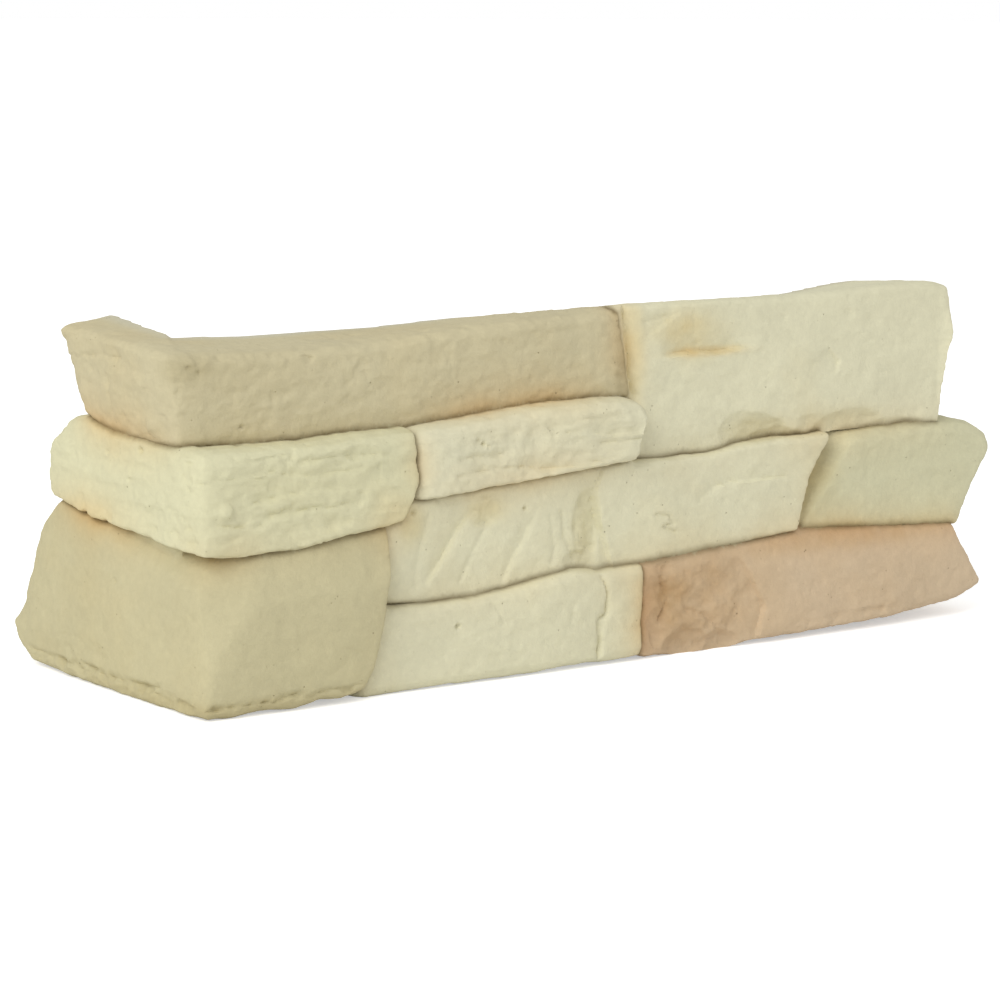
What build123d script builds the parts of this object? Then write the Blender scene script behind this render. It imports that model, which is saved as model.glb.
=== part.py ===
from build123d import *

import os
from dataclasses import dataclass

# A cast stone veneer corner: nine ledge stones in three courses, cast as one piece round a wall's corner.
# Millimetres. The stones are laid out from the wall's corner line at the foot of the casting: X runs along
# the long leg, Y runs back along the return, Z is up. A face's "out" is how far it stands out from the wall.

# Heights, from the foot of the casting
FOOT = 0.0
BASE_BED_CORNER = 45.0  # base corner stone up to the middle corner stone, at the corner
BASE_BED_TURN = 44.4  # the same bed where it starts to climb to the right
BASE_BED_RIGHT = 48.0
BASE_BED_BACK = 50.3  # the same bed at the end of the return
CAP_BED_CORNER = 73.0  # middle course up to the cap stone, at the corner
CAP_BED_RIGHT = 78.8
CAP_BED_BACK = 77.2
LEDGE_BED_LEFT = 55.0  # long middle stone up to the thin ledge stone
LEDGE_BED_RIGHT = 61.0
END_BED_LEFT = 60.0  # middle course up to the top end stone
END_BED_RIGHT = 63.8
LONG_BED_LEFT = 25.0  # base course up to the long middle stone
LONG_BED_RIGHT = 34.2
NOSE_BED_RIGHT = 29.5  # base end stone up to the middle end stone, at the right
CAP_TOP_CORNER = 99.6
CAP_TOP_RIGHT = 104.8
CAP_TOP_BACK = 103.5
CAP_FALL = 3.4  # how far the top drops from the face to the wall, at the cap stone's right end
END_TOP_LEFT = 105.0
END_TOP = 107.0
END_FALL = 3.5  # how far the top end stone's top drops from the face to the wall
END_SHOULDER = 104.5  # top end stone, where its top turns down at the right
END_CHEEK = 91.0  # top end stone, where its right end stands furthest out
MIDDLE_CHEEK = 61.0  # middle corner stone, the same on the return
CORNER_CHEEK = 58.0  # middle corner stone, the same on the long leg
NOSE_CHEEK = 53.6  # middle end stone, the same
NOSE_WAIST = 39.0
NOSE_BROW = 60.8
BASE_CHEEK = 10.0  # base corner stone, the same on the return
BASE_WAIST = 38.0
BASE_SPALL = 19.0  # base corner stone, where its right end turns under
ROSE_RISE = 5.0  # how far the base end stone's lower edge climbs at its right end
ROSE_CHEEK = 9.0

# Places along the long leg, from the wall's corner
CAP_JOINT_TOP = 138.5
CAP_JOINT_LOW = 143.0
LEDGE_LEFT = 60.5
LEDGE_RIGHT = 144.5
LEDGE_RIGHT_LOW = 141.0
CORNER_JOINT_TOP = 61.0  # right end of the middle corner stone
CORNER_JOINT_LOW = 55.5
BASE_BED_TURN_PLACE = 22.0
BASE_JOINT_TOP = 50.5  # right end of the base corner stone
BASE_JOINT_SPALL = 47.0
BASE_JOINT_LOW = 41.0
ROSE_JOINT = 144.5  # between the two front stones of the base course
NOSE_JOINT_TOP = 222.0  # between the long middle stone and the middle end stone
NOSE_JOINT_LOW = 210.0
END_CREST = 252.0
END_SHOULDER_RIGHT = 279.0
END_STONE_RIGHT = 281.0
END_RIGHT_LOW = 273.5
NOSE_RIGHT = 292.5
NOSE_RIGHT_WAIST = 284.5
NOSE_RIGHT_TOP = 288.0
NOSE_RIGHT_LOW = 279.5
ROSE_RIGHT = 288.0
ROSE_RIGHT_TOP = 278.0
ROSE_FLAT_END = 225.0  # where the base end stone's lower edge starts to climb

# Ends of the return, back from the wall's corner
CAP_RETURN_TOP = 34.0
CAP_RETURN_LOW = 26.0
MIDDLE_RETURN = 45.5
MIDDLE_RETURN_TOP = 34.0
MIDDLE_RETURN_LOW = 43.0
BASE_RETURN = 63.5
BASE_RETURN_TOP = 41.5
BASE_RETURN_WAIST = 52.0
BASE_RETURN_LOW = 53.0

# How far the faces stand out from the wall
WALL = 0.0
CAP_OUT_CORNER = 25.5
CAP_OUT_RIGHT = 30.0
CAP_SIDE_OUT_TOP = 17.0
CAP_SIDE_OUT_LOW = 12.0
MIDDLE_OUT_CORNER = 38.5
MIDDLE_OUT_RIGHT = 36.0
MIDDLE_SIDE_OUT = 13.0
BASE_OUT_TOP = 40.0
BASE_OUT_LOW = 42.5
BASE_SIDE_OUT_TOP = 12.0
BASE_SIDE_OUT_LOW = 14.0
END_OUT_TOP = 27.0
END_OUT_LOW = 30.5
LEDGE_OUT = 37.5
LONG_OUT = 34.0
NOSE_OUT = 32.0
MIDDLE_BASE_OUT = 38.0
ROSE_OUT_LEFT = 37.0
ROSE_OUT_RIGHT = 34.5

# How the stones meet, and the inside corner that lies against the wall
LAP = 1.2  # a stone runs this far in behind its neighbour at a joint
HEEL_RADIUS = 8.0


@dataclass(frozen=True)
class Bevel:
    """A hewn edge: its width on the face, and its depth into the stone; the width may change along it."""

    width: float
    depth: float
    width_end: float = 0.0


# Hewn edges
SHARP = Bevel(1.5, 2.0)  # lower edges over a joint
TRIM = Bevel(2.0, 3.0)  # ends at an upright joint
ARRIS = Bevel(4.0, 4.0)  # corner edge of the cap and middle stones
WORN = Bevel(4.0, 6.0)  # upper edges
FREE_END = Bevel(2.5, 3.5)  # ends with no neighbour
PITCHED = Bevel(4.5, 13.0)  # top of the cap stone's return, rising to the wall
WEATHERED = Bevel(13.0, 5.0)  # sloping top of the base corner stone
BLUNT = Bevel(8.0, 7.0)  # corner edge and return top of the base corner stone
SKEWED = Bevel(8.5, 6.0)  # left end of the thin ledge stone
RECESS = Bevel(13.5, 8.0, 3.0)  # left end of the middle end stone, from its top down
FOOT_EDGE = Bevel(3.5, 3.0)
PANEL = Bevel(6.0, 3.0)  # upper edge of the base end stone


@dataclass(frozen=True)
class Bed:
    """A straight bed joint on an elevation, from one end to the other."""

    start: tuple
    end: tuple

    def at(self, place):
        """Height of the bed at a place along the face."""
        share = (place - self.start[0]) / (self.end[0] - self.start[0])
        return self.start[1] + share * (self.end[1] - self.start[1])

    def over(self, place):
        """Top of the stone below, where it runs up behind the stone above."""
        return self.at(place) + LAP

    def under(self, place):
        """Bottom of the stone above, where it runs down behind the stone below."""
        return self.at(place) - LAP


@dataclass(frozen=True)
class Corner:
    """A corner of a stone's outline, as place and height, and the bevel of the edge that leaves it."""

    u: float
    v: float
    bevel: Bevel = None


def front(u, v, out):
    """A point of the long leg: along the wall, up, and out from the wall."""
    return Vector(u, -out, v)


def side(u, v, out):
    """A point of the return: back along the wall, up, and out from the wall."""
    return Vector(-out, u, v)


def outward(heart, a, b, c):
    """The plane through three points, facing away from the heart of the stone."""
    normal = (b - a).cross(c - a).normalized()
    if normal.dot(a - heart) < 0:
        normal = -normal
    return Plane(origin=a, x_dir=(b - a), z_dir=normal)


@dataclass(frozen=True)
class Face:
    """One hewn face of a stone: its outline, counter-clockwise, and how far it stands out at two places."""

    leg: object  # front or side
    outline: list
    out_from: tuple  # a place, or a height, and the out there
    out_to: tuple
    upright: bool = False  # the out changes up the face, and not along it
    fall: tuple = ()  # three points of a top that falls to the wall

    def out(self, u, v):
        """How far the face stands out at a place and height."""
        here = v if self.upright else u
        share = (here - self.out_from[0]) / (self.out_to[0] - self.out_from[0])
        return self.out_from[1] + share * (self.out_to[1] - self.out_from[1])

    def point(self, u, v, depth=0.0):
        """A point of the face, or behind it by a depth."""
        return self.leg(u, v, self.out(u, v) - depth)

    def furthest(self):
        """The largest out over the outline."""
        return max(self.out(c.u, c.v) for c in self.outline)

    def edge_points(self, start, end):
        """Three points of the bevel along the edge from one corner to the next."""
        along = Vector(end.u - start.u, end.v - start.v).normalized()
        inward = Vector(-along.Y, along.X)
        near = inward * start.bevel.width
        far = inward * (start.bevel.width_end or start.bevel.width)
        return (
            self.point(start.u + near.X, start.v + near.Y),
            self.point(end.u + far.X, end.v + far.Y),
            self.point(start.u, start.v, start.bevel.depth),
        )

    def cuts(self):
        """The planes that hew the face and its bevelled edges."""
        count = len(self.outline)
        middle = [sum(c.u for c in self.outline) / count, sum(c.v for c in self.outline) / count]
        heart = self.leg(*middle, 0.0)
        corners = [self.outline[0], self.outline[1], self.outline[-1]]
        planes = [outward(heart, *[self.point(c.u, c.v) for c in corners])]
        for start, end in zip(self.outline, self.outline[1:] + self.outline[:1]):
            if start.bevel:
                planes.append(outward(heart, *self.edge_points(start, end)))
        return planes


def hewn(*faces):
    """A stone hewn from one prism, or from two that meet round the wall's corner."""
    with BuildPart() as block:
        for face in faces:
            on_front = face.leg is front
            with BuildSketch(Plane.XZ if on_front else Plane.YZ):
                with BuildLine():
                    Polyline(*[(c.u, c.v) for c in face.outline], close=True)
                make_face()
            extrude(amount=face.furthest() if on_front else -face.furthest())
            if face.fall:
                split(bisect_by=outward(Vector(WALL, WALL, FOOT), *face.fall), keep=Keep.BOTTOM)
        for face in faces:
            for plane in face.cuts():
                split(bisect_by=plane, keep=Keep.BOTTOM)
    return block.part


# Bed joints and the cap stone's top on the long leg, then the beds on the return
base_bed = Bed((-MIDDLE_SIDE_OUT, BASE_BED_CORNER), (CORNER_JOINT_LOW, BASE_BED_RIGHT))
cap_bed = Bed((-CAP_SIDE_OUT_LOW, CAP_BED_CORNER), (CAP_JOINT_LOW, CAP_BED_RIGHT))
ledge_bed = Bed((LEDGE_LEFT, LEDGE_BED_LEFT), (LEDGE_RIGHT, LEDGE_BED_RIGHT))
end_bed = Bed((CAP_JOINT_LOW, END_BED_LEFT), (END_STONE_RIGHT, END_BED_RIGHT))
long_bed = Bed((BASE_JOINT_TOP, LONG_BED_LEFT), (NOSE_JOINT_LOW, LONG_BED_RIGHT))
nose_bed = Bed((NOSE_JOINT_LOW, LONG_BED_RIGHT), (NOSE_RIGHT, NOSE_BED_RIGHT))
cap_top = Bed((-CAP_SIDE_OUT_TOP, CAP_TOP_CORNER), (CAP_JOINT_TOP, CAP_TOP_RIGHT))
base_bed_side = Bed((-MIDDLE_OUT_CORNER, BASE_BED_CORNER), (MIDDLE_RETURN, BASE_BED_BACK))
cap_bed_side = Bed((-CAP_OUT_CORNER, CAP_BED_CORNER), (CAP_RETURN_LOW, CAP_BED_BACK))

# Top course: the cap stone round the corner, and the tall end stone
cap_corner = hewn(
    Face(
        front,
        [
            Corner(-CAP_SIDE_OUT_LOW, cap_bed.under(-CAP_SIDE_OUT_LOW), SHARP),
            Corner(CAP_JOINT_LOW, cap_bed.under(CAP_JOINT_LOW), TRIM),
            Corner(CAP_JOINT_TOP, CAP_TOP_RIGHT, WORN),
            Corner(-CAP_SIDE_OUT_TOP, CAP_TOP_CORNER, ARRIS),
        ],
        (-CAP_SIDE_OUT_TOP, CAP_OUT_CORNER),
        (CAP_JOINT_LOW, CAP_OUT_RIGHT),
        fall=(
            front(WALL, cap_top.at(WALL), WALL),
            front(CAP_JOINT_TOP, CAP_TOP_RIGHT, CAP_OUT_RIGHT),
            front(CAP_JOINT_TOP, CAP_TOP_RIGHT - CAP_FALL, WALL),
        ),
    ),
    Face(
        side,
        [
            Corner(-CAP_OUT_CORNER, CAP_BED_CORNER, SHARP),
            Corner(CAP_RETURN_LOW, CAP_BED_BACK, TRIM),
            Corner(CAP_RETURN_TOP, CAP_TOP_BACK, PITCHED),
            Corner(WALL, cap_top.at(WALL)),
            Corner(-CAP_OUT_CORNER, CAP_TOP_CORNER),
        ],
        (CAP_BED_CORNER, CAP_SIDE_OUT_LOW),
        (CAP_TOP_CORNER, CAP_SIDE_OUT_TOP),
        upright=True,
    ),
)
top_end = hewn(
    Face(
        front,
        [
            Corner(LEDGE_RIGHT_LOW - LAP, end_bed.under(LEDGE_RIGHT_LOW), SHARP),
            Corner(END_RIGHT_LOW, end_bed.under(END_RIGHT_LOW), FREE_END),
            Corner(END_STONE_RIGHT, END_CHEEK, FREE_END),
            Corner(END_SHOULDER_RIGHT, END_SHOULDER, WORN),
            Corner(END_CREST, END_TOP, WORN),
            Corner(CAP_JOINT_TOP - LAP, END_TOP_LEFT),
        ],
        (END_BED_LEFT, END_OUT_LOW),
        (END_TOP, END_OUT_TOP),
        upright=True,
        fall=(
            front(CAP_JOINT_TOP, END_TOP_LEFT - END_FALL, WALL),
            front(CAP_JOINT_TOP, END_TOP_LEFT, END_OUT_TOP),
            front(END_CREST, END_TOP, END_OUT_TOP),
        ),
    )
)

# Middle course: the stone round the corner, the thin ledge, the long stone and the end stone's nose
middle_corner = hewn(
    Face(
        front,
        [
            Corner(-MIDDLE_SIDE_OUT, BASE_BED_CORNER, SHARP),
            Corner(BASE_BED_TURN_PLACE, BASE_BED_TURN, SHARP),
            Corner(CORNER_JOINT_LOW, BASE_BED_RIGHT, TRIM),
            Corner(CORNER_JOINT_TOP, CORNER_CHEEK, TRIM),
            Corner(CORNER_JOINT_TOP, cap_bed.at(CORNER_JOINT_TOP), WORN),
            Corner(-MIDDLE_SIDE_OUT, cap_bed.at(-MIDDLE_SIDE_OUT), ARRIS),
        ],
        (-MIDDLE_SIDE_OUT, MIDDLE_OUT_CORNER),
        (CORNER_JOINT_TOP, MIDDLE_OUT_RIGHT),
    ),
    Face(
        side,
        [
            Corner(-MIDDLE_OUT_CORNER, BASE_BED_CORNER, SHARP),
            Corner(MIDDLE_RETURN_LOW, BASE_BED_BACK, FREE_END),
            Corner(MIDDLE_RETURN, MIDDLE_CHEEK, FREE_END),
            Corner(MIDDLE_RETURN_TOP, cap_bed_side.over(MIDDLE_RETURN_TOP), WORN),
            Corner(-MIDDLE_OUT_CORNER, cap_bed_side.over(-MIDDLE_OUT_CORNER)),
        ],
        (BASE_BED_CORNER, MIDDLE_SIDE_OUT),
        (CAP_BED_CORNER, MIDDLE_SIDE_OUT),
        upright=True,
    ),
)
thin_ledge = hewn(
    Face(
        front,
        [
            Corner(CORNER_JOINT_TOP - LAP, ledge_bed.at(CORNER_JOINT_TOP), SHARP),
            Corner(LEDGE_RIGHT_LOW, ledge_bed.at(LEDGE_RIGHT_LOW), TRIM),
            Corner(LEDGE_RIGHT, cap_bed.at(LEDGE_RIGHT), WORN),
            Corner(CORNER_JOINT_TOP - LAP, cap_bed.at(CORNER_JOINT_TOP), SKEWED),
        ],
        (LEDGE_LEFT, LEDGE_OUT),
        (LEDGE_RIGHT, LEDGE_OUT),
    )
)
long_middle = hewn(
    Face(
        front,
        [
            Corner(BASE_JOINT_SPALL - LAP, long_bed.under(BASE_JOINT_SPALL), SHARP),
            Corner(NOSE_JOINT_LOW, long_bed.under(NOSE_JOINT_LOW), TRIM),
            Corner(NOSE_JOINT_TOP, end_bed.at(NOSE_JOINT_TOP), WORN),
            Corner(LEDGE_RIGHT, end_bed.at(LEDGE_RIGHT)),
            Corner(LEDGE_RIGHT_LOW, ledge_bed.over(LEDGE_RIGHT_LOW)),
            Corner(BASE_JOINT_SPALL - LAP, ledge_bed.over(BASE_JOINT_SPALL), SKEWED),
        ],
        (BASE_JOINT_TOP, LONG_OUT),
        (NOSE_JOINT_TOP, LONG_OUT),
    )
)
end_nose = hewn(
    Face(
        front,
        [
            Corner(NOSE_JOINT_LOW - LAP, nose_bed.under(NOSE_JOINT_LOW), SHARP),
            Corner(NOSE_RIGHT_LOW, nose_bed.under(NOSE_RIGHT_LOW), FREE_END),
            Corner(NOSE_RIGHT_WAIST, NOSE_WAIST, FREE_END),
            Corner(NOSE_RIGHT, NOSE_CHEEK, FREE_END),
            Corner(NOSE_RIGHT_TOP, NOSE_BROW, WORN),
            Corner(END_RIGHT_LOW, end_bed.at(END_RIGHT_LOW), WORN),
            Corner(NOSE_JOINT_TOP - LAP, end_bed.at(NOSE_JOINT_TOP), RECESS),
        ],
        (NOSE_JOINT_LOW, NOSE_OUT),
        (NOSE_RIGHT, NOSE_OUT),
    )
)

# Base course: the stone round the corner, and the two stones beside it
base_corner = hewn(
    Face(
        front,
        [
            Corner(-BASE_SIDE_OUT_LOW, FOOT, FOOT_EDGE),
            Corner(BASE_JOINT_LOW, FOOT, TRIM),
            Corner(BASE_JOINT_SPALL, BASE_SPALL, TRIM),
            Corner(BASE_JOINT_TOP, base_bed.over(BASE_JOINT_TOP), WEATHERED),
            Corner(-BASE_SIDE_OUT_TOP, base_bed.over(-BASE_SIDE_OUT_TOP), BLUNT),
        ],
        (FOOT, BASE_OUT_LOW),
        (BASE_BED_CORNER, BASE_OUT_TOP),
        upright=True,
    ),
    Face(
        side,
        [
            Corner(-BASE_OUT_LOW, FOOT, FOOT_EDGE),
            Corner(BASE_RETURN_LOW, FOOT, TRIM),
            Corner(BASE_RETURN, BASE_CHEEK, FREE_END),
            Corner(BASE_RETURN_WAIST, BASE_WAIST, FREE_END),
            Corner(BASE_RETURN_TOP, base_bed_side.over(BASE_RETURN_TOP), BLUNT),
            Corner(-BASE_OUT_LOW, base_bed_side.over(-BASE_OUT_LOW)),
        ],
        (FOOT, BASE_SIDE_OUT_LOW),
        (BASE_BED_CORNER, BASE_SIDE_OUT_TOP),
        upright=True,
    ),
)
middle_base = hewn(
    Face(
        front,
        [
            Corner(BASE_JOINT_LOW - LAP, FOOT, FOOT_EDGE),
            Corner(ROSE_JOINT, FOOT, SHARP),
            Corner(ROSE_JOINT, long_bed.at(ROSE_JOINT), WORN),
            Corner(BASE_JOINT_SPALL - LAP, long_bed.at(BASE_JOINT_SPALL), TRIM),
        ],
        (BASE_JOINT_LOW, MIDDLE_BASE_OUT),
        (ROSE_JOINT, MIDDLE_BASE_OUT),
    )
)
rose_end = hewn(
    Face(
        front,
        [
            Corner(ROSE_JOINT - LAP, FOOT, FOOT_EDGE),
            Corner(ROSE_FLAT_END, FOOT, FOOT_EDGE),
            Corner(ROSE_RIGHT, ROSE_RISE, TRIM),
            Corner(ROSE_RIGHT, ROSE_CHEEK, FREE_END),
            Corner(ROSE_RIGHT_TOP, nose_bed.at(ROSE_RIGHT_TOP), PANEL),
            Corner(NOSE_JOINT_LOW, LONG_BED_RIGHT, PANEL),
            Corner(ROSE_JOINT - LAP, long_bed.at(ROSE_JOINT), TRIM),
        ],
        (ROSE_JOINT, ROSE_OUT_LEFT),
        (ROSE_RIGHT, ROSE_OUT_RIGHT),
    )
)

# The rounding of the inside corner, up to the lowest point of the cap stone's top
with BuildPart() as heel:
    with BuildSketch(Plane.XY):
        with BuildLine():
            CenterArc((HEEL_RADIUS, HEEL_RADIUS), HEEL_RADIUS, 180, 90)
            Polyline(
                (WALL, HEEL_RADIUS),
                (-LAP, HEEL_RADIUS),
                (-LAP, -LAP),
                (HEEL_RADIUS, -LAP),
                (HEEL_RADIUS, WALL),
            )
        make_face()
    extrude(amount=CAP_TOP_CORNER)

# The casting: the stones joined, with the origin under the middle of the whole, at the foot
wall_x = (CAP_SIDE_OUT_TOP - NOSE_RIGHT) / 2
wall_y = (BASE_OUT_LOW - BASE_RETURN) / 2
with BuildPart() as stone_corner:
    with Locations((wall_x, wall_y, FOOT)):
        add(base_corner)
        add(middle_base)
        add(rose_end)
        add(middle_corner)
        add(long_middle)
        add(end_nose)
        add(thin_ledge)
        add(cap_corner)
        add(top_end)
        add(heel.part)

stone_corner.part.label = "stone_corner"
os.makedirs("parts", exist_ok=True)
export_step(stone_corner.part, "parts/stone_corner.step")
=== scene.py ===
"""Dress the cast stone corner: nine worn ledge stones in one casting, on a pale floor in soft studio light."""

import logging
import math
from dataclasses import dataclass, field
from enum import Enum

import bmesh
import bpy
import numpy as np
from mathutils import Matrix, Vector
from mathutils.bvhtree import BVHTree


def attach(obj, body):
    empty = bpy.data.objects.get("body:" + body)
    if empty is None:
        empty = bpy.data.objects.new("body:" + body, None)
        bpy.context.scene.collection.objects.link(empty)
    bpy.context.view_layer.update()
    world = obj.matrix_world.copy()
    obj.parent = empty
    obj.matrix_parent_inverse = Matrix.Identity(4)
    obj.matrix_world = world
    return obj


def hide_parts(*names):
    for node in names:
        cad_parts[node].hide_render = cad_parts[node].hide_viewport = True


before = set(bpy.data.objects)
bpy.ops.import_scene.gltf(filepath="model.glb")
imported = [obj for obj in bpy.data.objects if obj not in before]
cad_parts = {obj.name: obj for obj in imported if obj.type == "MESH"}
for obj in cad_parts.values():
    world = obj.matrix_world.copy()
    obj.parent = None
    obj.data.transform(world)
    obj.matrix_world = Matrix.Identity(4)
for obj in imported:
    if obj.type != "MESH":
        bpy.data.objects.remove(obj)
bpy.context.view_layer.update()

LOG = logging.getLogger("stone_corner")

MM = 0.001
WALL_X = -137.75  # the wall's corner line, in the frame, in mm
WALL_Y = -10.5
VOXEL = 0.62  # mm
MOST_TRIANGLES = 186_000

Line = list[tuple[float, float]]


class Leg(Enum):
    """The two legs of the casting."""

    LONG = "long"
    RETURN = "return"


def along(line: Line, place: float) -> float:
    """The value of a broken line at a place.

    Args:
        line: Places and values, in rising order of place.
        place: Where to read it.

    Returns:
        The value there, held level past the ends.
    """
    return float(np.interp(place, [p for p, _ in line], [v for _, v in line]))


def smooth_step(low: float, high: float, value: np.ndarray) -> np.ndarray:
    """A smooth rise from 0 at low to 1 at high.

    Args:
        low: Where the rise starts.
        high: Where it ends.
        value: Points to read it at.

    Returns:
        The share at each point.
    """
    t = np.clip((value - low) / (high - low), 0.0, 1.0)
    return t * t * (3.0 - 2.0 * t)


@dataclass(frozen=True)
class StoneNoise:
    """Seeded smooth noise in space, for the wear of the stones."""

    seed: int

    def lattice(self, cell: np.ndarray) -> np.ndarray:
        """Random values from -1 to 1 at whole-number points.

        Args:
            cell: Whole-number points, N by 3.

        Returns:
            One value for each point.
        """
        c = cell.astype(np.int64)
        h = c[:, 0] * 374761393 + c[:, 1] * 668265263 + c[:, 2] * 2147483647 + self.seed * 1274126177
        h = (h ^ (h >> 13)) * 1274126177 & 0x7FFFFFFF
        h = (h ^ (h >> 16)) * 668265263 & 0x7FFFFFFF
        return (h ^ (h >> 15)) % 65536 / 32767.5 - 1.0

    def at(self, points: np.ndarray, size: tuple[float, float, float]) -> np.ndarray:
        """Noise of one wave size.

        Args:
            points: N by 3, in mm.
            size: Wave length along X, Y and Z.

        Returns:
            Values from about -1 to 1.
        """
        p = points / np.array(size)
        base = np.floor(p)
        f = p - base
        f = f * f * f * (f * (f * 6.0 - 15.0) + 10.0)
        total = np.zeros(len(p))
        for dx in (0, 1):
            for dy in (0, 1):
                for dz in (0, 1):
                    weight = (
                        (f[:, 0] if dx else 1.0 - f[:, 0])
                        * (f[:, 1] if dy else 1.0 - f[:, 1])
                        * (f[:, 2] if dz else 1.0 - f[:, 2])
                    )
                    total += weight * self.lattice(base + np.array((dx, dy, dz)))
        return total

    def layered(self, points: np.ndarray, size: tuple[float, float, float], layers: int) -> np.ndarray:
        """Noise of several wave sizes, each half the last and half as strong.

        Args:
            points: N by 3, in mm.
            size: The longest wave along X, Y and Z.
            layers: How many sizes.

        Returns:
            Values from about -1 to 1.
        """
        total = np.zeros(len(points))
        strength, sum_of = 1.0, 0.0
        for layer in range(layers):
            step = tuple(s / 2**layer for s in size)
            total += strength * self.at(points + 17.3 * layer, step)
            sum_of += strength
            strength *= 0.5
        return total / sum_of


def line_distance(u: np.ndarray, v: np.ndarray, path: Line) -> np.ndarray:
    """Distance from points of an elevation to a broken line.

    Args:
        u: Places along the face.
        v: Heights.
        path: The line's corners.

    Returns:
        Distance of each point, in mm.
    """
    best = np.full(len(u), 1e9)
    for (u0, v0), (u1, v1) in zip(path, path[1:]):
        du, dv = u1 - u0, v1 - v0
        t = np.clip(((u - u0) * du + (v - v0) * dv) / (du * du + dv * dv), 0.0, 1.0)
        best = np.minimum(best, np.hypot(u - u0 - t * du, v - v0 - t * dv))
    return best


@dataclass(frozen=True)
class Groove:
    """A crack or tool mark with a sharp bottom, along a broken line on one leg's face."""

    path: Line
    width: float
    depth: float
    leg: Leg = Leg.LONG

    def cut(self, u: np.ndarray, v: np.ndarray) -> np.ndarray:
        """How far the mark moves the face outwards, which is negative, at each point."""
        waver = 0.5 * StoneNoise(7).layered(np.stack([u, v, 0.0 * u], axis=1), (5.0, 5.0, 5.0), 2)
        near = np.maximum(line_distance(u + waver, v + waver, self.path) - 0.15, 0.0) / self.width
        return -self.depth * np.exp(-1.6 * near)


@dataclass(frozen=True)
class Ledge:
    """A small step: the face drops on the left of a line's way, and comes back over a distance."""

    path: Line
    drop: float
    fade: float
    leg: Leg = Leg.LONG

    def cut(self, u: np.ndarray, v: np.ndarray) -> np.ndarray:
        """How far the step moves the face outwards, which is negative, at each point."""
        near = line_distance(u, v, self.path)
        side = np.zeros(len(u))
        best = np.full(len(u), 1e9)
        for (u0, v0), (u1, v1) in zip(self.path, self.path[1:]):
            du, dv = u1 - u0, v1 - v0
            length = math.hypot(du, dv)
            away = line_distance(u, v, [(u0, v0), (u1, v1)])
            over = ((v - v0) * du - (u - u0) * dv) / length
            side = np.where(away < best, over, side)
            best = np.minimum(best, away)
        (u0, v0), (u1, v1) = self.path[0], self.path[-1]
        du, dv = u1 - u0, v1 - v0
        share = ((u - u0) * du + (v - v0) * dv) / (du * du + dv * dv)
        ends = smooth_step(-0.25, 0.15, share) * (1.0 - smooth_step(0.75, 1.25, share))
        return -self.drop * smooth_step(-0.4, 0.5, side) * np.exp(-near / self.fade) * ends


@dataclass(frozen=True)
class Scoop:
    """A chip with a sharp rim: its middle, its half sizes, its depth and its turn in degrees."""

    middle: tuple[float, float]
    radius: tuple[float, float]
    depth: float
    turn: float = 0.0
    leg: Leg = Leg.LONG

    def cut(self, u: np.ndarray, v: np.ndarray) -> np.ndarray:
        """How far the chip moves the face outwards, which is negative, at each point."""
        waver = 0.8 * StoneNoise(19).layered(np.stack([u, v, 0.0 * u], axis=1), (6.0, 6.0, 6.0), 3)
        c, s = math.cos(math.radians(self.turn)), math.sin(math.radians(self.turn))
        du, dv = u - self.middle[0] + waver, v - self.middle[1] + waver
        q = ((du * c + dv * s) / self.radius[0]) ** 2 + ((dv * c - du * s) / self.radius[1]) ** 2
        return -self.depth * np.maximum(1.0 - q, 0.0) ** 0.8


@dataclass(frozen=True)
class Pit:
    """An air hole or a dent, or a bump where the depth is negative: its middle, its half sizes and its depth."""

    middle: tuple[float, float]
    radius: tuple[float, float]
    depth: float
    leg: Leg = Leg.LONG

    def cut(self, u: np.ndarray, v: np.ndarray) -> np.ndarray:
        """How far the hole moves the face outwards, which is negative, at each point."""
        q = ((u - self.middle[0]) / self.radius[0]) ** 2 + ((v - self.middle[1]) / self.radius[1]) ** 2
        return -self.depth * np.exp(-(q**1.5))


@dataclass(frozen=True)
class Rough:
    """A patch that is broken rather than worn: its middle, its half sizes and the depth of its hollows."""

    middle: tuple[float, float]
    radius: tuple[float, float]
    depth: float
    leg: Leg = Leg.LONG

    def cut(self, u: np.ndarray, v: np.ndarray) -> np.ndarray:
        """How far the patch moves the face outwards, which is negative, at each point."""
        flat = np.stack([u, v, 0.0 * u], axis=1)
        hollows = np.abs(StoneNoise(23).layered(flat, (8.0, 7.0, 8.0), 4))
        q = ((u - self.middle[0]) / self.radius[0]) ** 2 + ((v - self.middle[1]) / self.radius[1]) ** 2
        return -self.depth * 2.2 * hollows * (1.0 - smooth_step(0.55, 1.15, q))


@dataclass(frozen=True)
class Hew:
    """A flat facet struck off a stone: a point on it and its outward direction, in mm from the wall's corner line."""

    point: tuple[float, float, float]
    normal: tuple[float, float, float]
    soft: float = 2.0

    def strike(self, spot: np.ndarray) -> np.ndarray:
        """Press what lies past the facet's plane back onto it, with a soft edge.

        Args:
            spot: Points in mm from the wall's corner line, N by 3.

        Returns:
            The points after the blow.
        """
        normal = np.array(self.normal) / np.linalg.norm(self.normal)
        over = (spot - np.array(self.point)) @ normal
        return spot - np.outer(0.5 * (over + np.hypot(over, self.soft)), normal)


@dataclass(frozen=True)
class Edge:
    """A worn edge: its width on the face and its depth into the stone, in mm."""

    width: float
    depth: float


@dataclass(frozen=True)
class Tint:
    """The colour of a stone's cast face, and how rough its face is."""

    color: tuple[float, float, float]
    grain: float = 0.09
    bedding: float = 0.10
    wobble: float = 0.42
    chips: float = 0.15
    ragged: float = 0.20


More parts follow.
